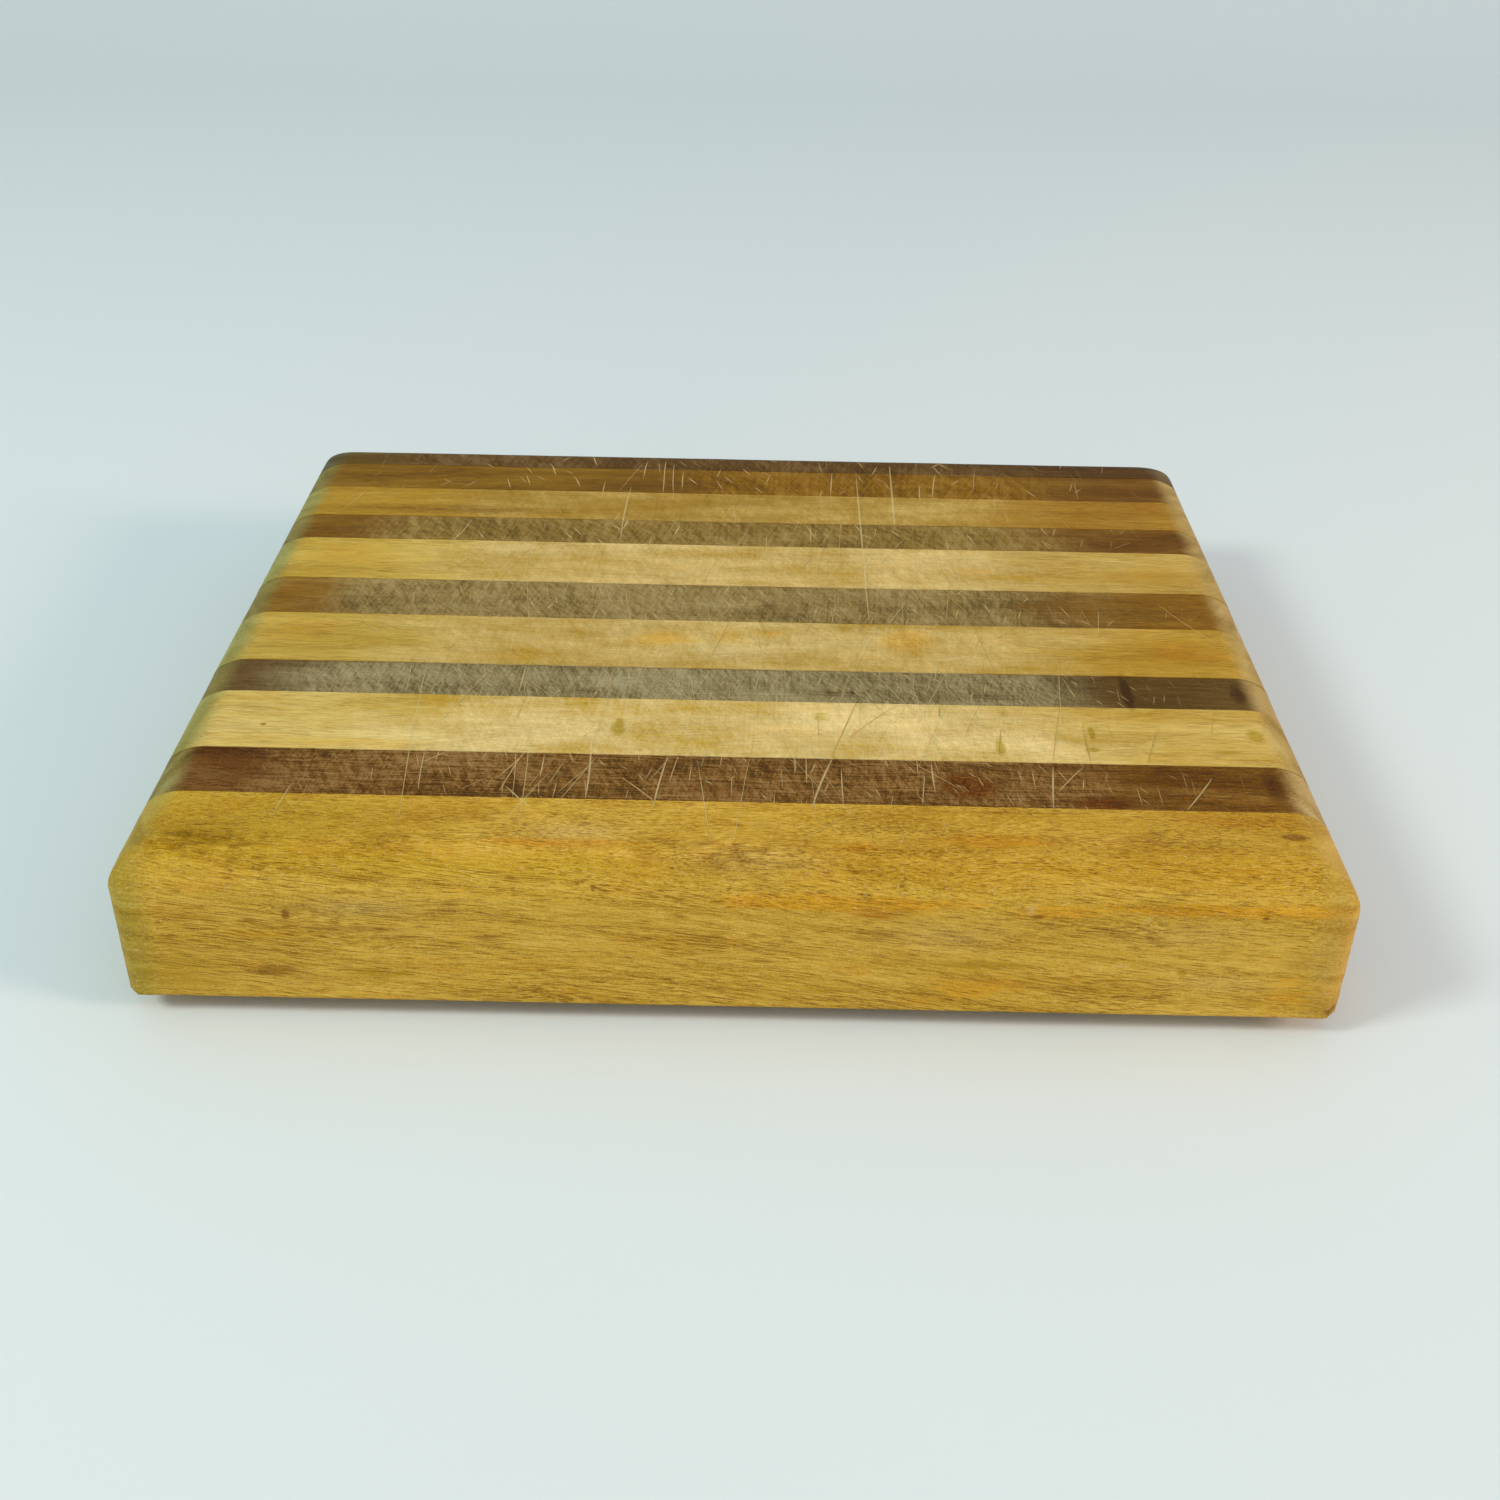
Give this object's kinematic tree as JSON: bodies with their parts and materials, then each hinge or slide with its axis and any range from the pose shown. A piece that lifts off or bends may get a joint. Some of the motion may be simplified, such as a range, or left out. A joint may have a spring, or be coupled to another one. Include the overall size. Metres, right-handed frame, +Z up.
{
  "type": "cutting board",
  "caption": "Rectangular edge-grain laminated wood cutting board in alternating light and dark strips, rounded-over top edges, on screwed-on rubber feet.",
  "frame": {"origin": "middle of the board's footprint, on the surface the feet stand on", "axes": "+X along the strips, to the right seen from the front; +Y from the front edge to the back edge; +Z up, out of the work surface"},
  "size_m": [0.305, 0.255, 0.049],
  "materials": {
    "wood_light": "oiled, worn, knife-marked",
    "wood_dark": "oiled, worn, knife-marked",
    "wood_darkest": "oiled",
    "glue": "hardened dark wood glue",
    "foot_rubber": "matt",
    "washer_steel": "plain stainless",
    "screw_steel": "plain stainless"
  },
  "bodies": {
    "root": {"strip_01": "wood_light", "strip_02": "wood_dark", "strip_03": "wood_light", "strip_04": "wood_dark", "strip_05": "wood_light", "strip_06": "wood_dark", "strip_07": "wood_light", "strip_08": "wood_dark", "strip_09": "wood_light", "strip_10": "wood_dark", "strip_11": "wood_darkest", "glue_01": "glue", "glue_02": "glue", "glue_03": "glue", "glue_04": "glue", "glue_05": "glue", "glue_06": "glue", "glue_07": "glue", "glue_08": "glue", "glue_09": "glue", "glue_10": "glue", "foot_front_left": "foot_rubber", "washer_front_left": "washer_steel", "screw_front_left": "screw_steel", "foot_front_right": "foot_rubber", "washer_front_right": "washer_steel", "screw_front_right": "screw_steel", "foot_back_left": "foot_rubber", "washer_back_left": "washer_steel", "screw_back_left": "screw_steel", "foot_back_right": "foot_rubber", "washer_back_right": "washer_steel", "screw_back_right": "screw_steel"}
  },
  "joints": []
}
